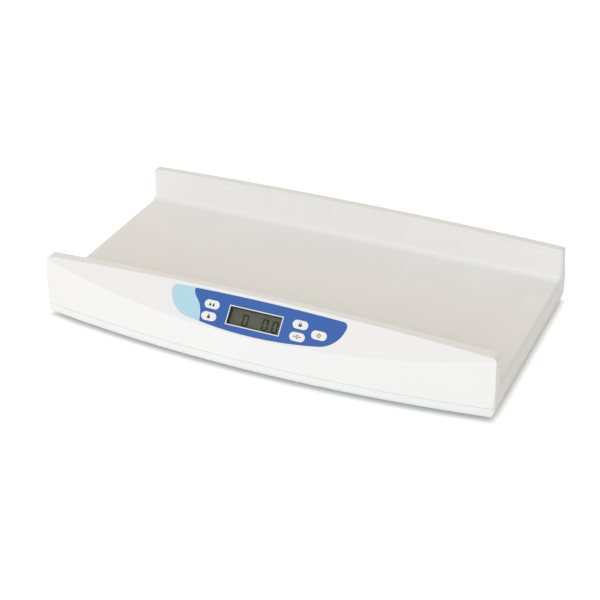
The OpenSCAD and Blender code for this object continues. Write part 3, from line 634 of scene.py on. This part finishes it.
SYMBOLS = {
    "unit_upper": weight_symbol(-2.2, -0.2, 1.35) + weight_symbol(2.2, -0.2, 1.35),
    "unit_lower": weight_symbol(0, -0.2, 1.75),
    "hold": padlock(4.2, 2.7, STROKE),
    "zero": [
        arrow(-5.2, 0, 2.9, 1, STROKE),
        arrow(5.2, 0, 2.9, -1, STROKE),
        *ring(3.0, 4.6, STROKE),
    ],
    "power": [curved_bar(0, -0.25, 2.0, 125, 415, STROKE), bar(0, 0.3, 0, 2.3, STROKE)],
}
for key, strokes in SYMBOLS.items():
    flat_piece(
        "mark_" + key,
        [shifted(outline, *KEY_SPOTS[key]) for outline in strokes],
        PRINT_LOW,
        PRINT_TOP,
        PRINT_EDGE,
        symbol_ink,
        "key_" + key,
    )

# ---------- light ----------


def area_light(name, place, aim, size, power, colour):
    data = bpy.data.lights.new(name, "AREA")
    data.shape = "RECTANGLE"
    data.size, data.size_y = size
    data.energy = power
    data.color = colour
    made = bpy.data.objects.new(name, data)
    scene.collection.objects.link(made)
    made.location = place
    made.rotation_euler = (Vector(aim) - Vector(place)).to_track_quat("-Z", "Y").to_euler()


area_light(
    "front_key",
    place=(0.2, -3.15, 1.35),
    aim=(0, 0, 0.05),
    size=(3.0, 1.6),
    power=36.2,
    colour=(0.765, 0.86, 1.0),
)

# The sky's strength on the scale's left and on its right
SKY_LEFT, SKY_RIGHT = 1.06, 0.4


def studio_world():
    """A sky that is brighter on the left. The camera itself sees a white backdrop instead."""
    world = bpy.data.worlds.new("studio")
    world.use_nodes = True
    tree = world.node_tree
    sky = tree.nodes["Background"]
    sky.inputs["Color"].default_value = (1.0, 0.94, 0.845, 1)
    heading = node(tree, "ShaderNodeTexCoord")
    sideways = node(tree, "ShaderNodeSeparateXYZ")
    tree.links.new(heading.outputs["Generated"], sideways.inputs["Vector"])
    level = mapped(tree, sideways.outputs["X"], SKY_LEFT, SKY_RIGHT, -1.0, 1.0)
    tree.links.new(level, sky.inputs["Strength"])
    backdrop = node(tree, "ShaderNodeBackground")
    backdrop.inputs["Color"].default_value = (1.0, 1.0, 1.0, 1)
    seen = node(tree, "ShaderNodeLightPath").outputs["Is Camera Ray"]
    shown = mixed(tree, seen, sky.outputs["Background"], backdrop.outputs["Background"])
    tree.links.new(shown, tree.nodes["World Output"].inputs["Surface"])
    return world


scene.world = studio_world()

# ---------- floor ----------

FLOOR_SIZE = 14
# The scale's outline on the floor, in metres: half its length, its back, its front in the middle,
# and how fast the front falls back along the bow
FOOTPRINT_X, FOOTPRINT_BACK, FOOTPRINT_FRONT = 0.294, 0.159, 0.162
FRONT_BOW = 1 / (2 * 1.812)
# The glow's full strength, how far outside it is reached, and its share that lights the scale
GLOW, GLOW_REACH, GLOW_THROWN = 0.8, 0.018, 0.2


def floor_glow(tree, shader):
    """The floor burns out to white just outside the footprint, and lights the scale less."""
    coords = node(tree, "ShaderNodeTexCoord")
    split = node(tree, "ShaderNodeSeparateXYZ")
    tree.links.new(coords.outputs["Object"], split.inputs["Vector"])
    x, y = split.outputs["X"], split.outputs["Y"]

    past_right = calculated(tree, "MULTIPLY_ADD", x, 1.0, -FOOTPRINT_X)
    past_left = calculated(tree, "MULTIPLY_ADD", x, -1.0, -FOOTPRINT_X)
    past_back = calculated(tree, "MULTIPLY_ADD", y, 1.0, -FOOTPRINT_BACK)
    past_line = calculated(tree, "MULTIPLY_ADD", y, -1.0, -FOOTPRINT_FRONT)
    bow = calculated(tree, "MULTIPLY_ADD", x, x, 0.0)
    past_front = calculated(tree, "MULTIPLY_ADD", bow, FRONT_BOW, past_line)
    past_end = calculated(tree, "MAXIMUM", past_right, past_left)
    past_side = calculated(tree, "MAXIMUM", past_back, past_front)
    join = node(tree, "ShaderNodeCombineXYZ")
    tree.links.new(calculated(tree, "MAXIMUM", past_end, 0.0), join.inputs["X"])
    tree.links.new(calculated(tree, "MAXIMUM", past_side, 0.0), join.inputs["Y"])
    reach = node(tree, "ShaderNodeVectorMath", operation="LENGTH")
    tree.links.new(join.outputs["Vector"], reach.inputs[0])

    seen = node(tree, "ShaderNodeLightPath")
    share = mapped(tree, seen.outputs["Is Camera Ray"], GLOW_THROWN, 1.0, 0.0, 1.0)
    strength = mapped(tree, reach.outputs["Value"], 0.0, GLOW, 0.0, GLOW_REACH)
    glow = calculated(tree, "MULTIPLY", strength, share)
    tree.links.new(glow, shader.inputs["Emission Strength"])


def see_through_from_below(tree, shader):
    """Seen from below, the floor gives way and lets light reach the underside."""
    facing = node(tree, "ShaderNodeNewGeometry").outputs["Backfacing"]
    passed = node(tree, "ShaderNodeLightPath").outputs["Transparent Depth"]
    under = calculated(tree, "ADD", facing, passed, clamp=True)
    gone = node(tree, "ShaderNodeBsdfTransparent").outputs["BSDF"]
    shown = mixed(tree, under, shader.outputs["BSDF"], gone)
    tree.links.new(shown, tree.nodes["Material Output"].inputs["Surface"])


bpy.ops.mesh.primitive_plane_add(size=FLOOR_SIZE, location=(0, 0, 0))
floor = bpy.context.object
floor.name = "floor"
floor_mat, floor_tree, floor_shader = material("floor_white")
floor_shader.inputs["Base Color"].default_value = (0.9, 0.91, 0.92, 1)
floor_shader.inputs["Roughness"].default_value = 0.9
floor_shader.inputs["Specular IOR Level"].default_value = 0.0
floor_shader.inputs["Emission Color"].default_value = (1, 1, 1, 1)
floor_glow(floor_tree, floor_shader)
see_through_from_below(floor_tree, floor_shader)
floor.data.materials.append(floor_mat)

# ---------- camera ----------

# Place in metres, turn in degrees, and lens and sensor in millimetres
CAMERA_PLACE = (0.65996, -1.49921, 0.98432)
CAMERA_TURN = (90 - 30.564, 0.0, 23.962)
CAMERA_LENS = 88.306
CAMERA_SENSOR = 36

camera_data = bpy.data.cameras.new("camera")
camera_data.lens = CAMERA_LENS
camera_data.sensor_width = CAMERA_SENSOR
camera = bpy.data.objects.new("camera", camera_data)
camera.location = CAMERA_PLACE
camera.rotation_euler = [math.radians(a) for a in CAMERA_TURN]
scene.collection.objects.link(camera)
scene.camera = camera
scene.view_settings.view_transform = "Standard"
scene.view_settings.look = "None"
